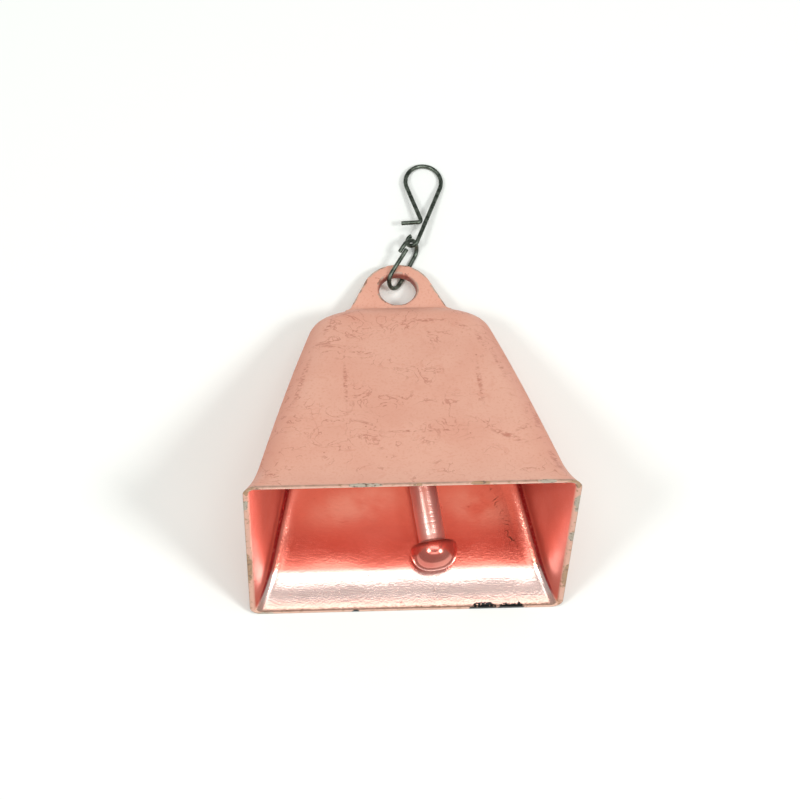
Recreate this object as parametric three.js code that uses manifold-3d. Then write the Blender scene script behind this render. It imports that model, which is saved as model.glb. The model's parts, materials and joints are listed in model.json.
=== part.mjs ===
// Small sheet-metal cowbell lying on its back face, with its rivet clapper, its open wire link and
// its sprung wire snap. Millimetres, +Z up. The bell is drawn in a frame of its own, with x to the
// right, y from the mouth to the crown and z out of the front face, and then laid back on the table.

import * as THREE from 'three';
import { ParametricGeometry } from 'three/addons/geometries/ParametricGeometry.js';
import { mergeVertices } from 'three/addons/utils/BufferGeometryUtils.js';
import Module from 'manifold-3d';

const { PI, sin, cos, sqrt, min, max } = Math;
const rad = THREE.MathUtils.degToRad;
const vec = (x, y, z) => new THREE.Vector3(x, y, z);
const vec2 = (x, y) => new THREE.Vector2(x, y);
const wasm = await Module();
wasm.setup();

// ---- driving dimensions ----

const SHEET = 1.0;                    // shell thickness
const MOUTH_WIDTH = 65;               // over the flared lip, along x
const MOUTH_DEPTH = 51.5;             // over the flared lip, along z
const HEIGHT = 57.25;                 // mouth to crown
const CROWN_WIDTH = 36.7;             // where straight side walls would meet the crown's height
const CROWN_DEPTH = 10.9;
const FLARE = 1.25;                   // how far the lip turns out, over FLARE_LENGTH
const FLARE_LENGTH = 9;
const CORNER_RADIUS_MOUTH = 2.7;      // upright corners of the shell, outside
const CORNER_RADIUS_CROWN = 5;
const SIDE_BOW = 1.6;                 // how far the side walls bend in from straight at the crown
const CROWN_RADIUS_SIDE = 7.2;        // rounding of the crown seen from the front
const CROWN_RADIUS_RIDGE = 5.5;       // rounding of the crown seen from the side

const PLATE = 2;                      // hanger plate thickness
const PLATE_BEVEL = 0.5;              // its worn edges
const LUG_HEIGHT = 69.4;              // top of the lug above the mouth
const LUG_TOP_RADIUS = 7.62;
const LUG_SIDE_ANGLE = rad(25.8);     // how much the lug's sides lean in
const LUG_HOLE_Y = 62.85;
const LUG_HOLE_RADIUS = 3.9;
const TANG_WIDTH = 9;
const TANG_END_Y = 49.4;
const TANG_END_RADIUS = 3.2;
const TANG_SHOULDER = 1.5;            // length of the slanted step from the tang to its round end
const TANG_HOLE_Y = 52;
const TANG_HOLE_RADIUS = 1.35;
const FIT_GAP = 0.3;                  // between pieces that bear on each other

const RING_Y = 49;                    // centre of the clapper's ring
const RING_RADIUS = 2.8;
const RING_WIRE = 1.4;
const CLAPPER_LEAN = rad(20.6);       // lies back on the rear wall
const CLAPPER_SIDE = rad(8);          // and a little to the right
const SHANK_RADIUS = 2.75;
const HEAD_RADIUS = 4.85;
const HEAD_BAND = 1.6;                // from its underside to its widest line
const HEAD_DOME = 4.2;
const HEAD_FULLNESS = 0.86;           // below 1 the dome is fuller than an ellipse
const SHANK_END = 39.4;               // from the eye to the head's underside
const EYE_RADIUS = 1.15;
const BLADE_RADIUS = 2.35;
const BLADE_THICKNESS = 2;
const BLADE_LENGTH = 7;
const SHANK_TOP = 3;                  // the round shank starts this far below the eye
const SHANK_TAPER = 3;                // and reaches its full radius over this length
const SHANK_TOP_SHARE = 0.55;         // of the radius, at its top
const HEAD_EDGE = 1.2;                // rounding of the head's shoulder

const TILT = rad(18.6);               // the bell's lean when it lies on its back
const WIRE = 0.95;                    // link and snap wire
const LINK_HEADING = rad(31);         // the link points this far to the right of straight ahead
const LINK_ROLL = rad(31);            // and leans over to the left
const LINK_RADIUS = 2.4;
const LINK_LENGTH = 11.4;             // between the wire's centre lines
const LINK_PITCH = 1.25;              // sideways step between the link's two overlapped ends
const LINK_SAG = 0.1;                 // the step leaves one end of the lower strand this much low
const LINK_END_LAP = 1.1;             // how far the ends pass each other
const LINK_END_FROM_TIP = 3;          // from the link's far tip back to its ends
const LINK_GRIP = rad(21);            // how far up the link's far bend the snap hangs
const SNAP_PLACE = [3.6, 79.45];      // the eye of the snap on the table
const SNAP_HEADING = rad(23);

const SNAP_EYE_RADIUS = 1.25;
const SNAP_EYE_TURN = rad(235);
const SNAP_LOOP_RADIUS = 3.85;
const SNAP_LOOP_Y = 13.85;            // loop centre from the eye, along the stem
const SNAP_LATCH_ANGLE = rad(42.5);   // between the latch strand and the stem
const SNAP_BEND_RADIUS = 0.75;
const SNAP_TAB_LENGTH = 3.9;
const SNAP_TAB_ANGLE = rad(62.5);     // tab to stem
const SNAP_SPLIT_GAP = 0.3;

// ---- colours ----

const PIECE_COLOURS = {
  bell_shell: ['#e2a58f', 0.42, 0.35],
  hanger_plate: ['#dd9f8a', 0.45, 0.35],
  clapper_ring: ['#8a8a84', 0.4, 0.9],
  clapper: ['#d7795f', 0.25, 0.7],
  link: ['#59625a', 0.35, 0.9],
  snap_hook: ['#59625a', 0.35, 0.9],
  snap_latch: ['#59625a', 0.35, 0.9],
};

function piece(name, geometry) {
  const [color, roughness, metalness] = PIECE_COLOURS[name];
  const mesh = new THREE.Mesh(geometry, new THREE.MeshStandardMaterial({ color, roughness, metalness }));
  mesh.name = name;
  return mesh;
}

// ---- joining and cutting ----

function toManifold(geometry) {
  const bare = geometry.clone();
  bare.deleteAttribute('normal');
  bare.deleteAttribute('uv');
  const merged = mergeVertices(bare, 1e-5);
  const index = merged.index.array;
  const kept = [];
  for (let i = 0; i < index.length; i += 3) {
    const [a, b, c] = [index[i], index[i + 1], index[i + 2]];
    if (a !== b && b !== c && c !== a) kept.push(a, b, c);
  }
  const vertProperties = new Float32Array(merged.attributes.position.array);
  return new wasm.Manifold(new wasm.Mesh({ numProp: 3, vertProperties, triVerts: new Uint32Array(kept) }));
}

function toGeometry(solid) {
  const mesh = solid.getMesh();
  const geometry = new THREE.BufferGeometry();
  geometry.setAttribute('position', new THREE.BufferAttribute(new Float32Array(mesh.vertProperties), 3));
  geometry.setIndex(new THREE.BufferAttribute(new Uint32Array(mesh.triVerts), 1));
  return geometry;
}

// ---- bell shell ----

// Quarter-circle fall from 1 to 0 over the last `radius` below a top at `top`.
function rounding(y, top, radius) {
  const over = min(1, max(0, (y - top) / radius + 1));
  return sqrt(1 - over * over);
}

// Half width, half depth and corner radius of the shell's skin at height y, `inset` under the outside.
function section(y, inset) {
  const lip = y < FLARE_LENGTH ? FLARE * (1 - y / FLARE_LENGTH) ** 2 : 0;
  const rise = y / HEIGHT;
  const straightWidth = THREE.MathUtils.lerp(MOUTH_WIDTH / 2 - FLARE, CROWN_WIDTH / 2, rise);
  const straightDepth = THREE.MathUtils.lerp(MOUTH_DEPTH / 2 - FLARE, CROWN_DEPTH / 2, rise);
  const top = HEIGHT - inset;
  const sideRadius = CROWN_RADIUS_SIDE - inset;
  const bow = SIDE_BOW * rise ** 3 + sideRadius * (1 - rounding(y, top, sideRadius));
  const halfWidth = straightWidth + lip - inset - bow;
  const halfDepth = (straightDepth + lip - inset) * rounding(y, top, CROWN_RADIUS_RIDGE - inset);
  const corner = THREE.MathUtils.lerp(CORNER_RADIUS_MOUTH, CORNER_RADIUS_CROWN, rise) - inset;
  return { halfWidth, halfDepth, corner: min(corner, halfDepth) };
}

// Heights of the rings from the mouth to the crown: the lip, the walls, the rounded crown.
function ringHeights(inset) {
  const lip = [0, 0.12, 0.28, 0.48, 0.72, 1].map((part) => part * FLARE_LENGTH);
  const crownStart = HEIGHT - CROWN_RADIUS_SIDE;
  const wall = [0.4, 0.7, 0.88].map((part) => THREE.MathUtils.lerp(FLARE_LENGTH, crownStart, part));
  const crownSteps = 11;
  const crown = [];
  for (let i = 0; i <= crownSteps; i++) {
    crown.push(crownStart + (HEIGHT - inset - crownStart) * sin((PI / 2) * (i / crownSteps)));
  }
  return [...lip, ...wall, ...crown];
}

// A point on a rounded rectangle, `part` running once around it from 0 to 1.
const CORNER_STEPS = 5;
const RING_POINTS = 4 * (CORNER_STEPS + 1);

function roundedRectangle(part, { halfWidth, halfDepth, corner }, y, target) {
  const i = Math.round(part * RING_POINTS) % RING_POINTS;
  const quarter = Math.floor(i / (CORNER_STEPS + 1));
  const angle = (PI / 2) * (quarter + (i % (CORNER_STEPS + 1)) / CORNER_STEPS);
  const signX = quarter === 0 || quarter === 3 ? 1 : -1;
  const signZ = quarter < 2 ? 1 : -1;
  target.set(
    signX * (halfWidth - corner) + corner * cos(angle),
    y,
    signZ * (halfDepth - corner) + corner * sin(angle),
  );
}

function makeBellShell() {
  const outside = ringHeights(0).reverse().map((y) => [y, 0]);
  const inside = ringHeights(SHEET).map((y) => [y, SHEET]);
  const rings = [...outside, ...inside];
  const skin = new ParametricGeometry((u, v, target) => {
    const [y, inset] = rings[Math.round(v * (rings.length - 1))];
    roundedRectangle(u, section(y, inset), y, target);
  }, RING_POINTS, rings.length - 1);
  const slot = new THREE.BoxGeometry(TANG_WIDTH + 2 * FIT_GAP, 6 * SHEET, PLATE + 2 * FIT_GAP);
  slot.translate(0, HEIGHT, 0);
  return toGeometry(toManifold(skin).subtract(toManifold(slot)));
}

// ---- hanger plate: the lug outside and the tang that passes through the crown ----

function makeHangerPlate() {
  const lugCentre = LUG_HEIGHT - LUG_TOP_RADIUS;
  const baseY = HEIGHT + FIT_GAP;
  const tangentX = LUG_TOP_RADIUS * cos(LUG_SIDE_ANGLE);
  const tangentY = lugCentre + LUG_TOP_RADIUS * sin(LUG_SIDE_ANGLE);
  const baseX = tangentX + (tangentY - baseY) * Math.tan(LUG_SIDE_ANGLE);
  const tangX = TANG_WIDTH / 2;
  const roundY = TANG_END_Y + TANG_END_RADIUS;
  const shoulderY = roundY + TANG_SHOULDER;

  const outline = new THREE.Shape();
  outline.moveTo(baseX, baseY);
  outline.lineTo(tangentX, tangentY);
  outline.absarc(0, lugCentre, LUG_TOP_RADIUS, LUG_SIDE_ANGLE, PI - LUG_SIDE_ANGLE, false);
  outline.lineTo(-baseX, baseY);
  outline.lineTo(-tangX, baseY);
  outline.lineTo(-tangX, shoulderY);
  outline.lineTo(-TANG_END_RADIUS, roundY);
  outline.absarc(0, roundY, TANG_END_RADIUS, PI, 2 * PI, false);
  outline.lineTo(tangX, shoulderY);
  outline.lineTo(tangX, baseY);
  outline.closePath();

  for (const [y, radius] of [[LUG_HOLE_Y, LUG_HOLE_RADIUS], [TANG_HOLE_Y, TANG_HOLE_RADIUS]]) {
    const hole = new THREE.Path();
    hole.absarc(0, y, radius, 0, 2 * PI, true);
    outline.holes.push(hole);
  }
  const plate = new THREE.ExtrudeGeometry(outline, {
    depth: PLATE - 2 * PLATE_BEVEL,
    curveSegments: 14,
    bevelThickness: PLATE_BEVEL,
    bevelSize: PLATE_BEVEL,
    bevelOffset: -PLATE_BEVEL,
    bevelSegments: 1,
  });
  plate.translate(0, 0, PLATE_BEVEL - PLATE / 2);
  return toGeometry(toManifold(plate));
}

// ---- clapper: a round-head rivet with a flattened, pierced end; y runs up from the head ----

function makeClapper() {
  const profile = [
    vec2(0, -SHANK_TOP),
    vec2(SHANK_RADIUS * SHANK_TOP_SHARE, -SHANK_TOP),
    vec2(SHANK_RADIUS, -SHANK_TOP - SHANK_TAPER),
    vec2(SHANK_RADIUS, -SHANK_END),
  ];
  const shoulderSteps = 3;
  for (let i = 0; i <= shoulderSteps; i++) {
    const angle = (PI / 2) * (i / shoulderSteps);
    const inward = HEAD_EDGE * (1 - sin(angle));
    profile.push(vec2(HEAD_RADIUS - inward, -SHANK_END - HEAD_EDGE * (1 - cos(angle))));
  }
  const domeSteps = 8;
  for (let i = 0; i < domeSteps; i++) {
    const angle = (PI / 2) * (i / domeSteps);
    const drop = HEAD_BAND + HEAD_DOME * sin(angle) ** HEAD_FULLNESS;
    profile.push(vec2(HEAD_RADIUS * cos(angle) ** HEAD_FULLNESS, -SHANK_END - drop));
  }
  profile.push(vec2(0, -SHANK_END - HEAD_BAND - HEAD_DOME));
  const rivet = new THREE.LatheGeometry(profile.reverse(), 20);

  const outline = new THREE.Shape();
  outline.absarc(0, 0, BLADE_RADIUS, 0, PI, false);
  outline.lineTo(-BLADE_RADIUS, -BLADE_LENGTH);
  outline.lineTo(BLADE_RADIUS, -BLADE_LENGTH);
  outline.closePath();
  const eye = new THREE.Path();
  eye.absarc(0, 0, EYE_RADIUS, 0, 2 * PI, true);
  outline.holes.push(eye);
  const blade = new THREE.ExtrudeGeometry(outline, {
    depth: BLADE_THICKNESS,
    curveSegments: 10,
    bevelEnabled: false,
  });
  blade.translate(0, 0, -BLADE_THICKNESS / 2);
  return toGeometry(toManifold(rivet).add(toManifold(blade)));
}

function makeClapperRing() {
  const ring = new THREE.TorusGeometry(RING_RADIUS, RING_WIRE / 2, 10, 28);
  return ring.rotateY(PI / 2);
}

// ---- wire work ----

function wireAlong(points) {
  const path = new THREE.CatmullRomCurve3(points, false, 'centripetal');
  const round = new THREE.Shape();
  round.absarc(0, 0, WIRE / 2, 0, 2 * PI, false);
  return new THREE.ExtrudeGeometry(round, {
    extrudePath: path,
    steps: points.length - 1,
    curveSegments: 4,
  });
}

// Points on a circular arc in the x-y plane about (cx, cy).
function arcPoints(cx, cy, radius, from, to, count) {
  const points = [];
  for (let i = 0; i <= count; i++) {
    const angle = from + (to - from) * (i / count);
    points.push(vec2(cx + radius * cos(angle), cy + radius * sin(angle)));
  }
  return points;
}

// Centre line of the link: a long round-ended loop in its own y-z plane, y along it, that steps
// sideways in x once around, so that its two cut ends lie side by side.
const LINK_STRAIGHT = LINK_LENGTH / 2 - LINK_RADIUS;
const LINK_ARC = PI * LINK_RADIUS;
const LINK_LAP_START = LINK_LENGTH / 2 - LINK_END_FROM_TIP;
const LINK_ROUND = 4 * LINK_STRAIGHT + 2 * LINK_ARC;
const LINK_RUN = LINK_ROUND + LINK_END_LAP;

function linkPoint(run) {
  const x = LINK_PITCH * (0.5 - run / LINK_RUN);
  const near = LINK_LAP_START + LINK_STRAIGHT;
  let left = run % LINK_ROUND;
  if (left < near) return vec(x, LINK_LAP_START - left, LINK_RADIUS);
  left -= near;
  if (left < LINK_ARC) {
    const angle = PI / 2 + left / LINK_RADIUS;
    return vec(x, -LINK_STRAIGHT + LINK_RADIUS * cos(angle), LINK_RADIUS * sin(angle));
  }
  left -= LINK_ARC;
  if (left < 2 * LINK_STRAIGHT) return vec(x, left - LINK_STRAIGHT, -LINK_RADIUS);
  left -= 2 * LINK_STRAIGHT;
  if (left < LINK_ARC) {
    const angle = left / LINK_RADIUS - PI / 2;
    return vec(x, LINK_STRAIGHT + LINK_RADIUS * cos(angle), LINK_RADIUS * sin(angle));
  }
  return vec(x, LINK_STRAIGHT - (left - LINK_ARC), LINK_RADIUS);
}

function makeLink() {
  const steps = 56;
  const points = [];
  for (let i = 0; i <= steps; i++) points.push(linkPoint((LINK_RUN * i) / steps));
  return wireAlong(points);
}

// The link's wire on its far bend, where the snap's eye goes round it.
const LINK_GRIP_RUN = LINK_LAP_START + 3 * LINK_STRAIGHT + 1.5 * LINK_ARC + LINK_RADIUS * LINK_GRIP;
const LINK_GRIP_POINT = linkPoint(LINK_GRIP_RUN);

// Snap: x across, y along the stem from the eye, z up. The eye goes round the link's wire.
const SNAP_STEM_X = SNAP_EYE_RADIUS * cos(LINK_ROLL);
const SNAP_STEM_Z = SNAP_EYE_RADIUS * sin(LINK_ROLL);
const SNAP_LOOP_X = SNAP_STEM_X - SNAP_LOOP_RADIUS;

function snapEyePoints() {
  const points = [];
  const count = 14;
  for (let i = 0; i < count; i++) {
    const angle = SNAP_EYE_TURN * (1 - i / count);
    const across = SNAP_EYE_RADIUS * cos(angle);
    points.push(vec(across * cos(LINK_ROLL), -SNAP_EYE_RADIUS * sin(angle), across * sin(LINK_ROLL)));
  }
  return points;
}

function makeSnapGeometries(eyeHeight) {
  const fall = (eyeHeight + SNAP_STEM_Z - WIRE / 2) / (SNAP_LOOP_Y + SNAP_LOOP_RADIUS);
  const onSlope = (p) => vec(p.x, p.y, SNAP_STEM_Z - fall * p.y);
  const halfGap = SNAP_SPLIT_GAP / 2 / SNAP_LOOP_RADIUS;
  const endAngle = PI + SNAP_LATCH_ANGLE;
  const loop = (from, to, count) => arcPoints(SNAP_LOOP_X, SNAP_LOOP_Y, SNAP_LOOP_RADIUS, from, to, count);

  const stem = [0, 0.25, 0.5, 0.75].map((part) => vec2(SNAP_STEM_X, part * SNAP_LOOP_Y));
  const hook = [...snapEyePoints(), ...[...stem, ...loop(0, PI / 2 - halfGap, 7)].map(onSlope)];

  const arcEnd = loop(0, endAngle, 1)[1];
  const inward = vec2(sin(SNAP_LATCH_ANGLE), -cos(SNAP_LATCH_ANGLE));
  const bendX = SNAP_STEM_X - WIRE - FIT_GAP / 2 - SNAP_BEND_RADIUS;
  const bendStart = bendX + SNAP_BEND_RADIUS * cos(SNAP_LATCH_ANGLE);
  const strand = (bendStart - arcEnd.x) / inward.x;
  const bendY = arcEnd.y + strand * inward.y - SNAP_BEND_RADIUS * sin(SNAP_LATCH_ANGLE);
  const tabTurn = SNAP_TAB_ANGLE - PI / 2;
  const bend = arcPoints(bendX, bendY, SNAP_BEND_RADIUS, SNAP_LATCH_ANGLE, tabTurn, 6);
  const tabWay = vec2(-sin(SNAP_TAB_ANGLE), -cos(SNAP_TAB_ANGLE));
  const tab = [0.5, 1].map((part) => bend[6].clone().addScaledVector(tabWay, part * SNAP_TAB_LENGTH));
  const strandMid = [0.33, 0.67].map((part) => arcEnd.clone().addScaledVector(inward, part * strand));
  const latch = [...loop(PI / 2 + halfGap, endAngle, 9), ...strandMid, ...bend, ...tab].map(onSlope);
  return { hook: wireAlong(hook), latch: wireAlong(latch), fall };
}

// ---- assembly ----

const bell = new THREE.Group();
bell.name = 'bell_frame';
bell.rotation.x = -TILT;
bell.position.set(0, (MOUTH_DEPTH / 2) * sin(TILT), (MOUTH_DEPTH / 2) * cos(TILT));
bell.add(piece('bell_shell', makeBellShell()), piece('hanger_plate', makeHangerPlate()));

const swing = new THREE.Group();
swing.name = 'clapper_swing_frame';
swing.position.y = RING_Y;
swing.rotation.x = CLAPPER_LEAN;
swing.add(piece('clapper_ring', makeClapperRing()));
bell.add(swing);

const sway = new THREE.Group();
sway.name = 'clapper_sway_frame';
sway.position.y = -RING_RADIUS;
sway.rotation.z = CLAPPER_SIDE;
sway.add(piece('clapper', makeClapper()));
swing.add(sway);

const bar = new THREE.Group();
bar.name = 'link_swing_frame';
bar.position.y = (LUG_HEIGHT + LUG_HOLE_Y + LUG_HOLE_RADIUS) / 2;
bell.add(bar);

const link = piece('link', makeLink());
link.rotation.set(0, -LINK_ROLL, -LINK_HEADING, 'ZYX');
const grip = LINK_GRIP_POINT.clone().applyEuler(link.rotation);
const linkHeight = WIRE / 2 + LINK_RADIUS * cos(LINK_ROLL) + LINK_SAG;
const eyePlace = vec(...SNAP_PLACE, linkHeight + grip.z);
link.position.subVectors(eyePlace, grip);

const snapGroup = new THREE.Group();
snapGroup.position.copy(eyePlace);
snapGroup.rotation.z = -SNAP_HEADING;
const snap = makeSnapGeometries(eyePlace.z);
const eyeFrame = new THREE.Group();
eyeFrame.name = 'snap_swing_frame';
eyeFrame.rotation.y = -LINK_ROLL;
const latchFrame = new THREE.Group();
latchFrame.name = 'snap_latch_frame';
const latchY = SNAP_LOOP_Y + SNAP_LOOP_RADIUS;
latchFrame.position.set(SNAP_LOOP_X, latchY, SNAP_STEM_Z - snap.fall * latchY);
latchFrame.rotation.x = -Math.atan(snap.fall);
snapGroup.add(eyeFrame, latchFrame, piece('snap_hook', snap.hook), piece('snap_latch', snap.latch));

const contents = new THREE.Group();
contents.add(bell, link, snapGroup);
const cowbell = new THREE.Group();
cowbell.add(contents);
cowbell.updateMatrixWorld(true);
const box = new THREE.Box3().setFromObject(cowbell, true);
contents.position.set(-(box.min.x + box.max.x) / 2, -(box.min.y + box.max.y) / 2, -box.min.z);

export default cowbell;
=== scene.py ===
"""Small copper-coated cowbell lying on its back, with its rivet clapper, wire link and wire snap.

Metres. The bell's own frame has x to the right, y from the mouth to the crown, z out of the front.
"""

import json
from math import ceil, cos, pi, radians, sin, sqrt, tan

import bmesh
import bpy
from mathutils import Matrix, Vector, noise


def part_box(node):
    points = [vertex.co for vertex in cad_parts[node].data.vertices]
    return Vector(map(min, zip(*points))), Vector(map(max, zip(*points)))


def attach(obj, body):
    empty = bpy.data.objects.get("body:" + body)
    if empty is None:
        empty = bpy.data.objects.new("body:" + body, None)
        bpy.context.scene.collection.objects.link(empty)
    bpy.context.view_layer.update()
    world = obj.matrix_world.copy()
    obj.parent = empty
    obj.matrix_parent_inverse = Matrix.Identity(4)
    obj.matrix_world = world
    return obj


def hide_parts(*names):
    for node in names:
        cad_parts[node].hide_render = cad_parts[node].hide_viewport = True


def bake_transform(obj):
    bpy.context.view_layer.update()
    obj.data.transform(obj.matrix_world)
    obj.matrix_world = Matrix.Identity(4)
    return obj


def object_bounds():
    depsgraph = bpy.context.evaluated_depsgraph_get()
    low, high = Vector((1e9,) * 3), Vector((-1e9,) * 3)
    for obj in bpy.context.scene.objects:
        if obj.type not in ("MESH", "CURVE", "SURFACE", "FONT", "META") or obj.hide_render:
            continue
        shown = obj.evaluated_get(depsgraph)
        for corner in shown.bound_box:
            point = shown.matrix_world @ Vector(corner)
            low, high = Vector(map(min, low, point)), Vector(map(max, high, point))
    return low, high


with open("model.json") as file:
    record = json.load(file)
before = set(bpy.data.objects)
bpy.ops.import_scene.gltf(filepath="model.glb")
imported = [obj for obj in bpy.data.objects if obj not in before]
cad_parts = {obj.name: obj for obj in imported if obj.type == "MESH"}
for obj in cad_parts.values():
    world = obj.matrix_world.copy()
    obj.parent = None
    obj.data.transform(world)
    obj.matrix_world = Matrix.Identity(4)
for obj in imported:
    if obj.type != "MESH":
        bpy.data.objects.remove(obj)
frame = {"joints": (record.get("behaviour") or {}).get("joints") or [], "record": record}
cad_low, cad_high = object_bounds()
joints = {joint["name"]: joint for joint in frame["joints"]}
mounts = {mount["name"]: mount for mount in frame["record"]["mounts"]}

# ---- driving dimensions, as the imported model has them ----

SHEET = 0.0010
MOUTH_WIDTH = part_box("bell_shell")[1].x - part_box("bell_shell")[0].x
MOUTH_DEPTH = 0.0515
HEIGHT = 0.05725
CROWN_WIDTH = 0.0367
CROWN_DEPTH = 0.0109
FLARE = 0.00125
FLARE_LENGTH = 0.009
FLARE_CURVE = 2.6
CORNER_RADIUS_MOUTH = 0.0027
CORNER_RADIUS_CROWN = 0.005
CORNER_SOFTENING = 0.8
SIDE_BOW = 0.0016
CROWN_RADIUS_SIDE = 0.0072
CROWN_RADIUS_RIDGE = 0.0055
RIM_ROUND = 0.00028
DENT_DEPTH = 0.00022
DENTS_PER_METRE = 95

PLATE = 0.002
LUG_TOP = 0.0694
LUG_TOP_RADIUS = 0.00762
LUG_SIDE_ANGLE = radians(25.8)
LUG_HOLE_Y = 0.06285
LUG_HOLE_RADIUS = 0.0039
LUG_EDGE = 0.00058
# reach of the painted shade round the lug's hole
HOLE_SHADE_REACH = 0.0062
BRAZE_REACH = 0.0009
BRAZE_SWELL = 0.00045
TANG_WIDTH = 0.009
TANG_END_Y = 0.0494
TANG_END_RADIUS = 0.0032
TANG_HOLE_Y = 0.052
TANG_HOLE_RADIUS = 0.00135

RING_Y = 0.049
RING_RADIUS = 0.0028
RING_WIRE = 0.0014
CLAPPER_LEAN = radians(20.6)
CLAPPER_SIDE = radians(8)
SHANK_RADIUS = 0.00275
SHANK_END = 0.0394
SHANK_TOP = [  # share of the shank's radius, distance below the eye
    (0.0, 0.0028),
    (0.35, 0.00285),
    (0.62, 0.0033),
    (0.86, 0.0045),
    (0.97, 0.0056),
    (1.0, 0.0066),
]
SHANK_STRAIGHT = 0.0076
HEAD_RADIUS = 0.00485
HEAD_BAND = 0.0016
HEAD_DOME = 0.0042
HEAD_EDGE = 0.0012
HEAD_FULLNESS = 0.86
EYE_RADIUS = 0.00115
BLADE_RADIUS = 0.00235
BLADE_THICKNESS = 0.002
BLADE_LENGTH = 0.007

WIRE = 0.00095
WIRE_RADIUS = WIRE / 2 - 0.00002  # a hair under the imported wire, which is faceted
LINK_HEADING = radians(31)
LINK_ROLL = radians(31)
LINK_RADIUS = 0.0024
LINK_LENGTH = 0.0114
LINK_PITCH = 0.00125
LINK_END_LAP = 0.0011
LINK_END_FROM_TIP = 0.003
LINK_GRIP = radians(21)
SNAP_HEADING = radians(23)
SNAP_EYE_RADIUS = 0.00125
SNAP_EYE_TURN = radians(235)
SNAP_LOOP_RADIUS = 0.00385
SNAP_LOOP_Y = 0.01385
SNAP_LATCH_ANGLE = radians(42.5)
SNAP_BEND_RADIUS = 0.00075
SNAP_TAB_LENGTH = 0.0039
SNAP_TAB_ANGLE = radians(62.5)
SNAP_STEM_CLEARANCE = 0.00015

CAMERA_AIM = Vector((0, -0.0037, 0))
CAMERA_DISTANCE = 0.5088
CAMERA_ELEVATION = radians(75.74)
CAMERA_AZIMUTH = radians(9.39)
CAMERA_ROLL = radians(7.89)
CAMERA_LENS = 108

# ---- frames of the pieces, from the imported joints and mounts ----


def frame_from(origin, x, y, z):
    """Matrix with these axes as its columns."""
    matrix = Matrix((x, y, z)).transposed().to_4x4()
    matrix.translation = origin
    return matrix


bell_y = -Vector(mounts["mouth_rim"]["axis"])
bell_z = Vector(mounts["lug_front_face"]["axis"])
ring_centre = Vector(joints["clapper_swing"]["pos_m"])
BELL = frame_from(ring_centre - RING_Y * bell_y, bell_y.cross(bell_z), bell_y, bell_z)
SWING = BELL @ Matrix.Translation((0, RING_Y, 0)) @ Matrix.Rotation(CLAPPER_LEAN, 4, "X")
CLAPPER = SWING @ Matrix.Translation((0, -RING_RADIUS, 0)) @ Matrix.Rotation(CLAPPER_SIDE, 4, "Z")
snap_eye = Vector(joints["snap_swing"]["pos_m"])
SNAP = Matrix.Translation(snap_eye) @ Matrix.Rotation(-SNAP_HEADING, 4, "Z")

# ---- mesh helpers ----


def add_piece(name, matrix, points, faces, masks=None, sharp=radians(40)):
    """New mesh object. Its rest places in its own frame are kept as the attribute that materials read."""
    mesh = bpy.data.meshes.new(name)
    mesh.from_pydata([matrix @ point for point in points], [], faces)
    place = mesh.attributes.new("place", "FLOAT_VECTOR", "POINT")
    place.data.foreach_set("vector", [value for point in points for value in point])
    for mask, values in (masks or {}).items():
        mesh.attributes.new(mask, "FLOAT", "POINT").data.foreach_set("value", values)
    work = bmesh.new()
    work.from_mesh(mesh)
    bmesh.ops.remove_doubles(work, verts=work.verts, dist=2e-6)
    bmesh.ops.recalc_face_normals(work, faces=work.faces)
    work.to_mesh(mesh)
    work.free()
    mesh.shade_smooth()
    mesh.set_sharp_from_angle(angle=sharp)
    piece = bpy.data.objects.new(name, mesh)
    bpy.context.scene.collection.objects.link(piece)
    return piece


def loft_faces(ring_count, ring_size, joined=False, start=0):
    """Quads between successive closed rings; joined also closes the last ring onto the first."""
    faces = []
    for ring in range(ring_count if joined else ring_count - 1):
        here, there = ring * ring_size + start, (ring + 1) % ring_count * ring_size + start
        for i in range(ring_size):
            j = (i + 1) % ring_size
            faces.append((here + i, here + j, there + j, there + i))
    return faces


def lerp(a, b, part):
    return a + (b - a) * part


def smooth_step(low, high, value):
    part = min(1, max(0, (value - low) / (high - low)))
    return part * part * (3 - 2 * part)


def spread(low, high, steps):
    return [lerp(low, high, i / steps) for i in range(steps + 1)]


# ---- bell shell ----


def rounding(y, top, radius):
    """Quarter-circle fall from 1 to 0 over the last `radius` below `top`."""
    over = min(1, max(0, (y - top) / radius + 1))
    return sqrt(1 - over * over)


def shell_section(y, inset):
    """Half width, half depth and the corner's reach along the two walls, `inset` under the outside."""
    lip = FLARE * max(0, 1 - y / FLARE_LENGTH) ** FLARE_CURVE
    rise = y / HEIGHT
    top = HEIGHT - inset
    side = CROWN_RADIUS_SIDE - inset
    half_width = lerp(MOUTH_WIDTH / 2 - FLARE, CROWN_WIDTH / 2, rise) + lip - inset
    half_width -= SIDE_BOW * rise ** 3 + side * (1 - rounding(y, top, side))
    half_depth = lerp(MOUTH_DEPTH / 2 - FLARE, CROWN_DEPTH / 2, rise) + lip - inset
    half_depth *= rounding(y, top, CROWN_RADIUS_RIDGE - inset)
    corner = lerp(CORNER_RADIUS_MOUTH, CORNER_RADIUS_CROWN, rise) - inset
    corner_x = corner * (1 + CORNER_SOFTENING * smooth_step(0.001, 0.010, y))
    return half_width, half_depth, corner_x, min(corner, half_depth)


CORNER_STEPS = 10
WALL_STEPS = 24


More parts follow.
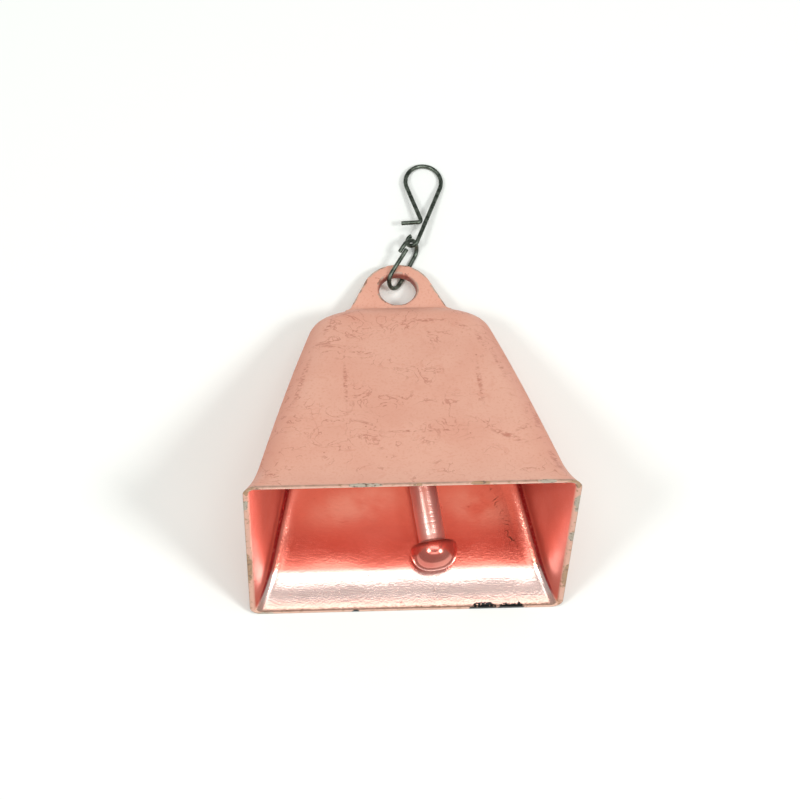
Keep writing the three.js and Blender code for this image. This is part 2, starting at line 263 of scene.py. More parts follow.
def rounded_rectangle(half_width, half_depth, corner_x, corner_z):
    """Points (x, z) once round a rounded rectangle."""
    points = []
    for quarter, (side_x, side_z) in enumerate(((1, 1), (-1, 1), (-1, -1), (1, -1))):
        centre_x, centre_z = side_x * (half_width - corner_x), side_z * (half_depth - corner_z)
        for angle in spread(0, pi / 2, CORNER_STEPS):
            turn = angle + quarter * pi / 2
            points.append((centre_x + corner_x * cos(turn), centre_z + corner_z * sin(turn)))
        x, z = points[-1]
        end_x, end_z = (-x, z) if quarter % 2 == 0 else (x, -z)
        for part in spread(0, 1, WALL_STEPS)[1:-1]:
            points.append((lerp(x, end_x, part), lerp(z, end_z, part)))
    return points


def shell_heights(inset):
    """Heights of the rings from just above the rim to the crown."""
    lip = spread(RIM_ROUND, FLARE_LENGTH, 20)
    crown_start = HEIGHT - CROWN_RADIUS_SIDE
    wall = spread(FLARE_LENGTH, crown_start, 22)[1:-1]
    crown = [crown_start + (HEIGHT - inset - crown_start) * sin(turn) for turn in spread(0, pi / 2, 22)]
    return lip + wall + crown


def make_shell():
    edge = [(RIM_ROUND * (1 - sin(turn)), RIM_ROUND * (1 - cos(turn))) for turn in spread(0, pi / 2, 4)]
    rings = [(y, 0.0) for y in reversed(shell_heights(0)[1:])] + edge
    rings += [(y, SHEET - inset) for y, inset in reversed(edge)]
    rings += [(y, SHEET) for y in shell_heights(SHEET)[1:]]
    points, inside, rim, side, edge_shade = [], [], [], [], []
    for y, inset in rings:
        half_width, half_depth, corner_x, corner_z = shell_section(y, inset)
        for x, z in rounded_rectangle(half_width, half_depth, corner_x, corner_z):
            dent = wall_dent(x, y, z)
            points.append(Vector((x, y, z - dent if z > 0 else z + dent)))
            inside.append(inset / SHEET)
            rim.append(1 - smooth_step(RIM_ROUND, 2 * RIM_ROUND, y))
            side.append(1 - smooth_step(0, 1, (half_width - abs(x)) / (0.3 * corner_x)))
            # This mask is 1 towards the side corners and up over the crown, where the outside gets painted
            # shade
            edge_shade.append(max(smooth_step(0.78, 1, abs(x) / half_width), smooth_step(0.046, HEIGHT, y)))
    ring_size = 4 * (CORNER_STEPS + WALL_STEPS)
    faces = loft_faces(len(rings), ring_size)
    masks = {"inside": inside, "rim": rim, "side": side, "edge_shade": edge_shade}
    return add_piece("bell_wall", BELL, points, faces, masks)


def wall_dent(x, y, z):
    """How far the front and back walls are pressed in: broad, shallow and uneven."""
    away = smooth_step(0.001, 0.012, y) * (1 - smooth_step(0.046, 0.054, y))
    half_width, half_depth, _, _ = shell_section(y, 0)
    away *= 1 - smooth_step(0.6, 0.95, abs(x) / half_width)
    away *= smooth_step(0.75, 0.95, abs(z) / max(half_depth, 1e-6))
    side = 0.07 if z > 0 else 0.03
    return DENT_DEPTH * away * (0.5 + noise.noise(Vector((x, y, side)) * DENTS_PER_METRE))


# ---- flat plates with a hole: the hanger's lug and tang, the clapper's blade ----


def pierced_plate(outline, centre, hole_radius, half_thickness, edge_round):
    """Closed plate: points, faces and edge mask. The outline is seen whole from the hole's centre."""
    middle = Vector((centre[0], centre[1]))
    profile_size, points, edge = 0, [], []
    quarter = spread(0, pi / 2, 4)
    for out in outline:
        ray = Vector(out) - middle
        length = ray.length - hole_radius
        ray.normalize()
        round_off = min(edge_round, 0.45 * length)
        band = min(0.0004, 0.2 * length)
        across = [round_off, round_off + band, *spread(round_off + band, length - round_off - band, 6)[1:-1]]
        across += [length - round_off - band, length - round_off]
        face = [(s, 0.0) for s in across]
        outer = [(length - round_off + round_off * sin(a), round_off * (1 - cos(a))) for a in quarter[1:]]
        inner = [(round_off * (1 - sin(a)), round_off * (1 - cos(a))) for a in quarter[1:]]
        half = list(reversed(inner)) + face + outer
        loop = [(s, drop, 1) for s, drop in half] + [(s, drop, -1) for s, drop in reversed(half)]
        profile_size = len(loop)
        for s, drop, side in loop:
            flat = middle + ray * (hole_radius + s)
            thick = half_thickness(flat.x, flat.y)
            points.append(Vector((flat.x, flat.y, side * (thick - drop))))
            near = min(s, length - s)
            edge.append(1 - smooth_step(0.3 * round_off, round_off + band, near))
    return points, loft_faces(len(outline), profile_size, joined=True), edge


def walk(corners, step):
    """Points along a closed polygon, `step` or less apart."""
    points = []
    for i, here in enumerate(corners):
        there = Vector(corners[(i + 1) % len(corners)])
        here = Vector(here)
        count = max(1, ceil((there - here).length / step))
        points += [here.lerp(there, k / count) for k in range(count)]
    return points


def arc(centre_x, centre_y, radius, start, end, steps):
    return [
        Vector((centre_x + radius * cos(angle), centre_y + radius * sin(angle)))
        for angle in spread(start, end, steps)
    ]


def lug_outline():
    """The lug with a small concave root on either side where it meets the crown."""
    sink, root = 0.0006, 0.0011
    centre_y = LUG_TOP - LUG_TOP_RADIUS
    dome = arc(0, centre_y, LUG_TOP_RADIUS, LUG_SIDE_ANGLE, pi - LUG_SIDE_ANGLE, 40)
    slope = tan(LUG_SIDE_ANGLE)

    def flank(y):
        above = y - HEIGHT
        extra = root * 0.6 * (1 - min(1, above / root)) ** 2 if above > 0 else root * 0.6
        return dome[0].x + (dome[0].y - y) * slope + extra

    heights = spread(HEIGHT - sink, HEIGHT + root, 6) + [HEIGHT + 2 * root]
    right = [Vector((flank(y), y)) for y in heights]
    left = [Vector((-p.x, p.y)) for p in reversed(right)]
    return walk(right + dome + left, 0.0007)


def make_hanger():
    def lug_thickness(x, y):
        root = 1 - smooth_step(HEIGHT - 0.0001, HEIGHT + BRAZE_REACH, y)
        return PLATE / 2 + BRAZE_SWELL * root * root

    lug = pierced_plate(lug_outline(), (0, LUG_HOLE_Y), LUG_HOLE_RADIUS, lug_thickness, LUG_EDGE)
    half = TANG_WIDTH / 2
    end_y = TANG_END_Y + TANG_END_RADIUS
    shoulder = end_y + 0.0015
    top = HEIGHT - 0.0002
    corners = [(half, shoulder), (half, top), (-half, top), (-half, shoulder)]
    corners += arc(0, end_y, TANG_END_RADIUS, pi, 2 * pi, 24)
    tang = pierced_plate(
        walk(corners, 0.0007), (0, TANG_HOLE_Y), TANG_HOLE_RADIUS, lambda x, y: PLATE / 2, 0.00035
    )
    points, faces, edge = join_meshes(lug, tang)
    return add_piece("hanger", BELL, points, faces, {"edge": edge})


def join_meshes(*parts):
    points, faces, edge = [], [], []
    for more_points, more_faces, more_edge in parts:
        start = len(points)
        points += more_points
        faces += [tuple(i + start for i in face) for face in more_faces]
        edge += more_edge
    return points, faces, edge


# ---- clapper ----


def turned(profile, steps):
    """A round body about y from (radius, y) pairs, ends closed by their zero radii."""
    points, faces = [], []
    for radius, y in profile:
        for i in range(steps):
            angle = 2 * pi * i / steps
            points.append(Vector((radius * cos(angle), y, radius * sin(angle))))
    return points, loft_faces(len(profile), steps)


def make_clapper():
    steps = 64
    head_top = -SHANK_END
    dome_top = head_top - HEAD_BAND
    fillet = 0.0006
    profile = [(SHANK_RADIUS * share, -below) for share, below in SHANK_TOP]
    profile += [(SHANK_RADIUS, y) for y in spread(-SHANK_STRAIGHT, head_top + fillet, 30)]
    profile += [
        (SHANK_RADIUS + fillet * (1 - cos(turn)), head_top + fillet * (1 - sin(turn)))
        for turn in spread(0, pi / 2, 5)[1:]
    ]
    for turn in spread(0, pi / 2, 8):
        profile.append((HEAD_RADIUS - HEAD_EDGE * (1 - sin(turn)), head_top - HEAD_EDGE * (1 - cos(turn))))
    for turn in spread(0, pi / 2, 36):
        radius = HEAD_RADIUS * max(0, cos(turn)) ** HEAD_FULLNESS
        profile.append((radius, dome_top - HEAD_DOME * sin(turn) ** HEAD_FULLNESS))
    points, faces = turned(profile, steps)
    head = [smooth_step(head_top + 0.0002, head_top - 0.0002, p.y) for p in points]

    round_end = arc(0, 0, BLADE_RADIUS, 0, pi, 28)
    corners = [(BLADE_RADIUS, -BLADE_LENGTH), *round_end, (-BLADE_RADIUS, -BLADE_LENGTH)]
    blade = pierced_plate(walk(corners, 0.0005), (0, 0), EYE_RADIUS, lambda x, y: BLADE_THICKNESS / 2, 0.0003)
    points, faces, head = join_meshes((points, faces, head), (blade[0], blade[1], [0.0] * len(blade[0])))
    return add_piece("rivet_clapper", CLAPPER, points, faces, {"head": head})


# ---- wire work ----


def tube(path, radius, sides=20):
    """A round wire along a path, its cut ends slightly chamfered, with the run along it as a mask."""
    tangents = []
    for i in range(len(path)):
        ahead, behind = path[min(i + 1, len(path) - 1)], path[max(i - 1, 0)]
        tangents.append((ahead - behind).normalized())
    normal = tangents[0].orthogonal().normalized()
    around = spread(0, 2 * pi, sides)[:-1]
    rings, runs, run = [], [], 0.0
    for i, (point, tangent) in enumerate(zip(path, tangents)):
        normal = (normal - tangent * normal.dot(tangent)).normalized()
        side = tangent.cross(normal)
        run += (point - path[i - 1]).length if i else 0
        rings.append([point + radius * (normal * cos(a) + side * sin(a)) for a in around])
        runs.append(run)
    chamfer = 0.12 * radius
    for end in (0, -1):
        out = -tangents[0] if end == 0 else tangents[-1]
        centre = path[end]
        inner = [centre + (p - centre) * (1 - chamfer / radius) for p in rings[end]]
        moved = [p - out * chamfer for p in rings[end]]
        tip = [centre] * sides
        if end == 0:
            rings = [tip, inner, moved] + rings[1:]
            runs = [0, 0, chamfer] + runs[1:]
        else:
            rings = rings[:-1] + [moved, inner, tip]
            runs = runs[:-1] + [run - chamfer, run, run]
    points = [p for ring in rings for p in ring]
    run_mask = [value for value in runs for _ in range(sides)]
    return points, loft_faces(len(rings), sides), run_mask


def make_ring():
    gap = radians(2)
    turns = spread(pi / 2 + gap / 2, 5 * pi / 2 - gap / 2, 72)
    path = [Vector((0, RING_RADIUS * cos(a), RING_RADIUS * sin(a))) for a in turns]
    points, faces, run = tube(path, RING_WIRE / 2)
    return add_piece("clapper_hook_ring", SWING, points, faces, {"run": run})


LINK_STRAIGHT = LINK_LENGTH / 2 - LINK_RADIUS
LINK_ARC = pi * LINK_RADIUS
LINK_LAP_START = LINK_LENGTH / 2 - LINK_END_FROM_TIP
LINK_ROUND = 4 * LINK_STRAIGHT + 2 * LINK_ARC
LINK_RUN = LINK_ROUND + LINK_END_LAP


def link_point(run):
    """The link's centre line: a round-ended loop along y that steps sideways in x once around."""
    x = LINK_PITCH * (0.5 - run / LINK_RUN)
    near = LINK_LAP_START + LINK_STRAIGHT
    left = run % LINK_ROUND
    if left < near:
        return Vector((x, LINK_LAP_START - left, LINK_RADIUS))
    left -= near
    if left < LINK_ARC:
        turn = pi / 2 + left / LINK_RADIUS
        return Vector((x, -LINK_STRAIGHT + LINK_RADIUS * cos(turn), LINK_RADIUS * sin(turn)))
    left -= LINK_ARC
    if left < 2 * LINK_STRAIGHT:
        return Vector((x, left - LINK_STRAIGHT, -LINK_RADIUS))
    left -= 2 * LINK_STRAIGHT
    if left < LINK_ARC:
        turn = left / LINK_RADIUS - pi / 2
        return Vector((x, LINK_STRAIGHT + LINK_RADIUS * cos(turn), LINK_RADIUS * sin(turn)))
    return Vector((x, LINK_STRAIGHT - (left - LINK_ARC), LINK_RADIUS))


def make_link():
    grip = link_point(LINK_LAP_START + 3 * LINK_STRAIGHT + 1.5 * LINK_ARC + LINK_RADIUS * LINK_GRIP)
    turn = Matrix.Rotation(-LINK_HEADING, 4, "Z") @ Matrix.Rotation(-LINK_ROLL, 4, "Y")
    link = Matrix.Translation(snap_eye) @ turn @ Matrix.Translation(-grip)
    path = [link_point(run) for run in spread(0, LINK_RUN, 120)]
    points, faces, run = tube(path, WIRE_RADIUS)
    return add_piece("wire_link", link, points, faces, {"run": run})


def snap_path():
    """Centre line of the snap from the cut end at its eye, up the stem, round the loop to the tab.
    Also gives the index of the loop's point furthest from the stem."""
    stem_x, stem_z = SNAP_EYE_RADIUS * cos(LINK_ROLL), SNAP_EYE_RADIUS * sin(LINK_ROLL)
    loop_x = stem_x - SNAP_LOOP_RADIUS
    fall = (snap_eye.z + stem_z - WIRE / 2) / (SNAP_LOOP_Y + SNAP_LOOP_RADIUS)

    eye = []
    for turn in spread(SNAP_EYE_TURN, 0, 40)[:-1]:
        across = SNAP_EYE_RADIUS * cos(turn)
        eye.append(Vector((across * cos(LINK_ROLL), -SNAP_EYE_RADIUS * sin(turn), across * sin(LINK_ROLL))))

    stem = [Vector((stem_x, y)) for y in spread(0, SNAP_LOOP_Y, 24)[:-1]]
    loop_end = pi + SNAP_LATCH_ANGLE
    loop = arc(loop_x, SNAP_LOOP_Y, SNAP_LOOP_RADIUS, 0, loop_end, 60)
    inward = Vector((sin(SNAP_LATCH_ANGLE), -cos(SNAP_LATCH_ANGLE)))
    bend_x = stem_x - WIRE - SNAP_STEM_CLEARANCE - SNAP_BEND_RADIUS
    strand = (bend_x + SNAP_BEND_RADIUS * cos(SNAP_LATCH_ANGLE) - loop[-1].x) / inward.x
    bend_y = loop[-1].y + strand * inward.y - SNAP_BEND_RADIUS * sin(SNAP_LATCH_ANGLE)
    bend = arc(bend_x, bend_y, SNAP_BEND_RADIUS, SNAP_LATCH_ANGLE, SNAP_TAB_ANGLE - pi / 2, 16)
    outward = Vector((-sin(SNAP_TAB_ANGLE), -cos(SNAP_TAB_ANGLE)))
    tab = [bend[-1] + outward * SNAP_TAB_LENGTH * part for part in spread(0, 1, 8)[1:]]
    straight = [loop[-1] + inward * strand * part for part in spread(0, 1, 16)[1:-1]]
    flat = stem + loop + straight + bend + tab
    sloped = [Vector((p.x, p.y, stem_z - fall * p.y)) for p in flat]
    return eye + sloped, len(eye) + len(stem) + round(60 * pi / loop_end), loop_x


def make_snap():
    path, far, loop_x = snap_path()
    points, faces, run = tube(path[: far + 1], WIRE_RADIUS)
    bow = add_piece("snap_bow", SNAP, points, faces, {"run": run})
    points, faces, run = tube(path[far:], WIRE_RADIUS)
    strand = add_piece("snap_strand", SNAP, points, faces, {"run": run})
    turn_y = SNAP_LOOP_Y + SNAP_LOOP_RADIUS
    start = SNAP @ Vector((loop_x + 0.0014, turn_y, 0))
    end = SNAP @ Vector((loop_x - 0.0016, turn_y, 0))
    return bow, strand, start, end


# ---- materials ----


class Finish:
    """A node material under construction."""

    def __init__(self, name):
        self.material = bpy.data.materials.new(name)
        self.material.use_nodes = True
        self.tree = self.material.node_tree
        self.shader = self.tree.nodes["Principled BSDF"]
        self.place = self.attribute("place").outputs["Vector"]

    def node(self, kind, sockets=None, **settings):
        made = self.tree.nodes.new(kind)
        for name, value in settings.items():
            setattr(made, name, value)
        for name, value in (sockets or {}).items():
            self.feed(made.inputs[name], value)
        return made

    def feed(self, socket, value):
        if isinstance(value, bpy.types.NodeSocket):
            self.tree.links.new(value, socket)
        else:
            socket.default_value = value

    def attribute(self, name):
        return self.node("ShaderNodeAttribute", attribute_name=name)

    def mask(self, name):
        return self.attribute(name).outputs["Fac"]

    def math(self, operation, a, b):
        """Maths on two values, with the result kept between 0 and 1."""
        return self.node("ShaderNodeMath", {0: a, 1: b}, operation=operation, use_clamp=True).outputs[0]

    def ramp(self, value, low, high):
        sockets = {"Value": value, "From Min": low, "From Max": high}
        made = self.node("ShaderNodeMapRange", sockets, interpolation_type="SMOOTHSTEP")
        return made.outputs["Result"]

    def span(self, value, low, high):
        sockets = {"Value": value, "To Min": low, "To Max": high}
        return self.node("ShaderNodeMapRange", sockets).outputs["Result"]

    def stretched(self, scale, turn=0.0, shift=(0, 0, 0)):
        sockets = {"Vector": self.place, "Scale": scale, "Rotation": (0, 0, turn), "Location": shift}
        return self.node("ShaderNodeMapping", sockets).outputs["Vector"]

    def noise(self, scale, detail=3.0, distortion=0.0, vector=None):
        sockets = {"Vector": vector or self.place, "Scale": scale, "Detail": detail, "Distortion": distortion}
        return self.node("ShaderNodeTexNoise", sockets).outputs["Fac"]

    def blend(self, part, a, b):
        made = self.node("ShaderNodeMix", {0: part, 6: a, 7: b}, data_type="RGBA")
        return made.outputs[2]

    def bump(self, height, strength, distance, below=None):
        sockets = {"Height": height, "Strength": strength, "Distance": distance}
        if below is not None:
            sockets["Normal"] = below
        return self.node("ShaderNodeBump", sockets).outputs["Normal"]

    def near(self, centre, size, turn=0.0):
        """1 at a place on the piece, falling to 0 at an ellipsoid's edge."""
        sockets = {"Vector": self.place, "Location": centre, "Rotation": (0, 0, turn), "Scale": size}
        away = self.node("ShaderNodeMapping", sockets, vector_type="TEXTURE").outputs[0]
        length = self.node("ShaderNodeVectorMath", {0: away}, operation="LENGTH").outputs["Value"]
        return self.ramp(length, 1.0, 0.35)

    def any_of(self, places):
        """The strongest of several `near` places."""
        most = 0.0
        for place in places:
            most = self.math("MAXIMUM", self.near(*place), most)
        return most

    def place_along(self, axis):
        return self.node("ShaderNodeSeparateXYZ", {"Vector": self.place}).outputs[axis]

    def set(self, **values):
        for name, value in values.items():
            self.feed(self.shader.inputs[name.replace("_", " ")], value)


def colour(red, green, blue):
    """Colour as it looks on a screen, 0 to 255, turned into light."""
    return (*((value / 255) ** 2.2 for value in (red, green, blue)), 1.0)


SALMON = colour(241, 181, 157)
SALMON_DEEP = colour(229, 157, 133)
# painted shade on the outside towards its side corners and over the crown
SALMON_SHADE = colour(222, 144, 120)
# painted highlight: the pale lip inside the back wall
LIP_HIGHLIGHT = colour(252, 222, 212)
# painted highlight: the pinker edge of the pale lip
RIM_HIGHLIGHT_PINK = colour(240, 190, 174)
# painted highlight: pale clouds inside the back wall
CORAL_HIGHLIGHT = colour(255, 216, 198)
CORAL_DEEP = colour(242, 160, 142)
# painted shade on the inside of the side walls
CORAL_SIDE_SHADE = colour(222, 108, 90)
# painted shade: a deeper red band above the lip inside
CORAL_SHADE = colour(224, 120, 102)
# painted shade in the inner corners between the back and side walls
FOLD_SHADE_RED = colour(164, 42, 40)
# painted shade inside the lug's hole
HOLE_SHADE_RED = colour(150, 66, 56)
SCUFF = colour(184, 98, 76)
RIM_PINK = colour(236, 190, 168)
BARE_STEEL = colour(186, 176, 158)
TAN = colour(176, 140, 104)
TARNISH = colour(104, 82, 64)
SOOT = colour(24, 27, 24)
# painted highlight: the shank's pale pink, on the same coat as the head
SHANK_HIGHLIGHT = colour(255, 222, 210)
SHANK_HIGHLIGHT_DEEP = colour(246, 196, 182)
HEAD_RED = colour(232, 140, 124)
HEAD_RED_DEEP = colour(220, 116, 102)
SPRING_STEEL = colour(104, 112, 102)
SPRING_STEEL_DARK = colour(62, 70, 62)
RING_STEEL = colour(150, 140, 128)
RING_STEEL_DARK = colour(104, 92, 80)
FLOOR_PALE = colour(248, 252, 247)
FLOOR_PALER = colour(250, 254, 250)

# Places of wear and of painted highlight in the bell's frame: centre, half sizes and, for some, a turn about
# z in radians.

FRONT, BACK = MOUTH_DEPTH / 2, -MOUTH_DEPTH / 2
BARE_SPOTS = [  # the rim's coat worn to steel
    ((-0.0090, 0, FRONT), (0.0052, 0.0012, 0.0020)),
    ((0.0255, 0, FRONT), (0.0030, 0.0012, 0.0020)),
    ((0.0322, 0, 0.0170), (0.0016, 0.0012, 0.0055)),
    ((0.0322, 0, 0.0040), (0.0016, 0.0010, 0.0030)),
    ((-0.0322, 0, 0.0190), (0.0014, 0.0010, 0.0030)),
    ((-0.0290, 0, BACK), (0.0030, 0.0012, 0.0016)),
]
TAN_SPOTS = [  # the rim's coat stained
    ((0.0130, 0, FRONT), (0.0034, 0.0011, 0.0020)),
    ((0.0008, 0, FRONT), (0.0017, 0.0006, 0.0018)),
    ((0.0305, 0, 0.0240), (0.0030, 0.0012, 0.0030)),
    ((-0.0305, 0, 0.0240), (0.0030, 0.0012, 0.0030)),
    ((0.0322, 0, -0.0120), (0.0016, 0.0010, 0.0080)),
    ((-0.0322, 0, -0.0060), (0.0014, 0.0010, 0.0100)),
]
CHIPS = [  # coat chipped down to blackened steel
    ((0.0218, 0.0007, BACK), (0.0062, 0.0026, 0.0026)),
    ((0.0160, 0.0005, BACK), (0.0056, 0.0019, 0.0026)),
    ((-0.0106, 0, BACK), (0.0014, 0.0011, 0.0018)),
]
SCRAPES = [  # darker scuffs on the outside of the front wall
    ((-0.0085, 0.0146, 0.0200), (0.0034, 0.0009, 0.0080), 0.0),
    ((0.0030, 0.0160, 0.0200), (0.0120, 0.0005, 0.0080), 0.02),
    ((0.0195, 0.0140, 0.0200), (0.0054, 0.0010, 0.0080), -0.55),
    ((0.0235, 0.0170, 0.0200), (0.0044, 0.0009, 0.0080), 0.6),
    ((0.0255, 0.0200, 0.0200), (0.0010, 0.0050, 0.0080), 0.2),
    ((0.0192, 0.0370, 0.0140), (0.0009, 0.0068, 0.0080), 0.25),
    ((0.0160, 0.0440, 0.0120), (0.0009, 0.0050, 0.0080), 0.25),
    ((0.0150, 0.0300, 0.0140), (0.0007, 0.0090, 0.0080), 0.05),
    ((0.0280, 0.0070, 0.0220), (0.0010, 0.0050, 0.0080), 0.3),
    ((0.0060, 0.0500, 0.0090), (0.0066, 0.0007, 0.0080), 0.05),
    ((0.0125, 0.0480, 0.0090), (0.0028, 0.0010, 0.0080), -0.5),
    ((-0.0150, 0.0490, 0.0100), (0.0010, 0.0040, 0.0080), -0.4),
    ((-0.0205, 0.0330, 0.0140), (0.0008, 0.0110, 0.0080), -0.25),
    ((-0.0105, 0.0530, 0.0080), (0.0056, 0.0004, 0.0080), 0.35),
    ((-0.0120, 0.0300, 0.0140), (0.0006, 0.0090, 0.0080), 0.0),
    ((-0.0270, 0.0040, 0.0230), (0.0030, 0.0010, 0.0080), 0.9),
    ((-0.0080, 0.0400, 0.0120), (0.0040, 0.0006, 0.0080), -0.15),
]
CRACKS = [  # fine cracks in the coat on the inside of the back wall
    ((0.0190, 0.0225, BACK), (0.0012, 0.0050, 0.0200), 0.1),
    ((0.0215, 0.0150, BACK), (0.0016, 0.0060, 0.0200), 0.35),
    ((0.0270, 0.0072, BACK), (0.0030, 0.0016, 0.0200), -0.4),
]
HIGHLIGHT_CLOUDS = [  # where the inside of the back wall gets painted highlight, paler and less red
    ((-0.0100, 0.0205, BACK), (0.0150, 0.0060, 0.0200), 0.25),
    ((0.0150, 0.0195, BACK), (0.0110, 0.0055, 0.0200), -0.35),
]


BACK_WALL_Z = (-0.0195, -0.0215)  # the inside of the back wall starts between these
LIP_HIGHLIGHT_Y = (0.0080, 0.0062)          # the painted highlight on the lip inside the back wall ends between these
SHADE_BAND_Y = (0.0170, 0.0110)          # and the painted shade, a deeper red, above it between these
RIM_HIGHLIGHT_Y = (0.0026, 0.0010)        # the pinker edge of the painted lip highlight
FOLD_SHADE_Y = (0.0, 0.003)             # the painted shade in the inner corners fades out towards the rim


def coat_finish(name):
    """A finish and the copper coat's colour, cloudy and mottled, before wear."""
    f = Finish(name)
    clouds = f.ramp(f.noise(75, 5), 0.35, 0.7)
    base = f.blend(f.math("MULTIPLY", clouds, 0.45), SALMON, SALMON_DEEP)
    fine, coarse = f.ramp(f.noise(1900, 3), 0.5, 0.72), f.ramp(f.noise(480, 5, 0.8), 0.56, 0.74)
    mottle = f.math("MAXIMUM", fine, coarse)
    return f, f.blend(f.math("MULTIPLY", mottle, 0.55), base, SALMON_DEEP)


def inside_colour(f, side, grain):
    """Coral red, with painted highlight in pale clouds and on the lip, and painted shade in a band above the
    lip, in the corners and on the side walls.
    """
    y = f.place_along("Y")
    # painted highlight: pale clouds on the inside of the back wall
    clouds = f.math("MULTIPLY", f.any_of(HIGHLIGHT_CLOUDS), f.ramp(f.noise(170, 4), 0.25, 0.6))
    # painted highlight: the lip inside the back wall made pale
    lip = f.math("MULTIPLY", f.ramp(f.place_along("Z"), *BACK_WALL_Z), f.ramp(y, *LIP_HIGHLIGHT_Y))
    # painted shade: deeper red in a band just above the lip
    inner = f.blend(f.ramp(y, *SHADE_BAND_Y), f.blend(clouds, CORAL_DEEP, CORAL_HIGHLIGHT), CORAL_SHADE)
    inner = f.blend(lip, inner, LIP_HIGHLIGHT)
    # painted highlight: a pinker pale band along the rim inside
    inner = f.blend(f.ramp(y, *RIM_HIGHLIGHT_Y), inner, RIM_HIGHLIGHT_PINK)
    # painted shade: the inside of the side walls deeper red
    inner = f.blend(side, inner, CORAL_SIDE_SHADE)
    # painted shade: dark red along the inner corners
    fold_shade = f.ramp(f.math("MULTIPLY", side, f.math("SUBTRACT", 1.0, side)), 0.02, 0.22)
    inner = f.blend(f.math("MULTIPLY", fold_shade, f.ramp(y, *FOLD_SHADE_Y)), inner, FOLD_SHADE_RED)
    return f.blend(f.math("MULTIPLY", f.ramp(grain, 0.55, 0.75), 0.35), inner, CORAL_DEEP)


def scuffed(f, base, within):
    """Placed scrapes, stray scratches, dots and fine swirls outside, and the cracks inside."""
    wisps = f.ramp(f.noise(1, 6, 1.4, f.stretched((700, 1500, 500), radians(12))), 0.44, 0.6)
    scrapes = f.math("MULTIPLY", f.any_of(SCRAPES), wisps)
    stray = f.ramp(f.noise(1, 6, 0.8, f.stretched((150, 1600, 300), radians(-24))), 0.68, 0.76)
    stray = f.math("MULTIPLY", stray, f.ramp(f.noise(120, 2), 0.5, 0.66))
    dots = f.node("ShaderNodeTexVoronoi", {"Vector": f.place, "Scale": 480}).outputs["Distance"]
    dots = f.math("MULTIPLY", f.ramp(dots, 0.13, 0.06), f.ramp(f.noise(240, 1), 0.55, 0.6))
    lines = f.node("ShaderNodeMath", {0: f.noise(210, 5, 1.2), 1: 0.5}, operation="SUBTRACT").outputs[0]
    lines = f.ramp(f.math("ABSOLUTE", lines, 0.0), 0.02, 0.004)
    here = f.math("SUBTRACT", f.ramp(f.noise(130, 3), 0.45, 0.6), within)
    swirls = f.math("MULTIPLY", lines, f.math("MULTIPLY", here, 0.8))
    scuffs = f.math("MAXIMUM", f.math("MAXIMUM", scrapes, stray), f.math("MAXIMUM", dots, swirls))
    base = f.blend(f.math("MULTIPLY", scuffs, 0.6), base, SCUFF)
    return f.blend(f.math("MULTIPLY", f.any_of(CRACKS), f.ramp(lines, 0.3, 0.7)), base, TARNISH)


def worn_rim(f, base):
    """The rim's thin coat, its tarnished outer arris and the places where the coat is gone."""
    rim = f.mask("rim")
    coarse, fine = f.noise(620, 5, 0.5), f.noise(2300, 3)
    flakes = f.math("ADD", f.math("MULTIPLY", coarse, 0.5), f.math("MULTIPLY", fine, 0.5))
    edge = f.blend(f.ramp(f.noise(900, 4), 0.52, 0.7), RIM_PINK, TAN)
    base = f.blend(f.math("MULTIPLY", rim, 0.85), base, edge)
    arris = f.math("MULTIPLY", rim, f.ramp(f.mask("inside"), 0.3, 0.1))
    base = f.blend(f.math("MULTIPLY", arris, f.span(f.noise(500, 4), 0.1, 0.9)), base, TARNISH)
    for spots, metal, stain, share in (
        (TAN_SPOTS, TAN, TARNISH, 0.85),
        (BARE_SPOTS, BARE_STEEL, TARNISH, 0.95),
        (CHIPS, SOOT, SOOT, 1.0),
    ):
        flaked = f.ramp(f.math("MULTIPLY", f.any_of(spots), f.span(flakes, -0.35, 2.5)), 0.72, 0.8)
        worn = f.blend(f.ramp(f.noise(1300, 3), 0.5, 0.66), metal, stain)
        base = f.blend(f.math("MULTIPLY", flaked, share), base, worn)
    return base


def shell_material():
    f, outside = coat_finish("bell_copper_coat")
    side = f.mask("side")
    within = f.ramp(f.mask("inside"), 0.4, 0.6)
    grain = f.noise(2600, 2)
    # painted shade: the outside darker towards its side corners and over the crown
    edge_shade = f.math("MULTIPLY", f.mask("edge_shade"), f.span(f.noise(260, 5, 0.6), 0.3, 0.9))
    outside = f.blend(edge_shade, outside, SALMON_SHADE)
    base = f.blend(within, outside, inside_colour(f, side, grain))
    base = worn_rim(f, scuffed(f, base, within))
    height = f.bump(f.noise(260, 3), 0.25, 0.00012)
    height = f.bump(grain, f.span(within, 0.3, 0.8), 0.00003, height)
    rough = f.math("SUBTRACT", f.span(f.noise(180, 3), 0.42, 0.54), f.span(within, 0, 0.29))
    rough = f.math("ADD", rough, f.math("MULTIPLY", side, 0.24))
    metallic = f.math("SUBTRACT", f.span(within, 0.12, 0.85), f.math("MULTIPLY", side, 0.45))
    f.set(Base_Color=base, Roughness=rough, Metallic=metallic, Normal=height)
    coat = f.math("SUBTRACT", f.span(within, 0.05, 0.5), side)
    f.set(Coat_Weight=coat, Coat_Roughness=0.16)
    return f.material


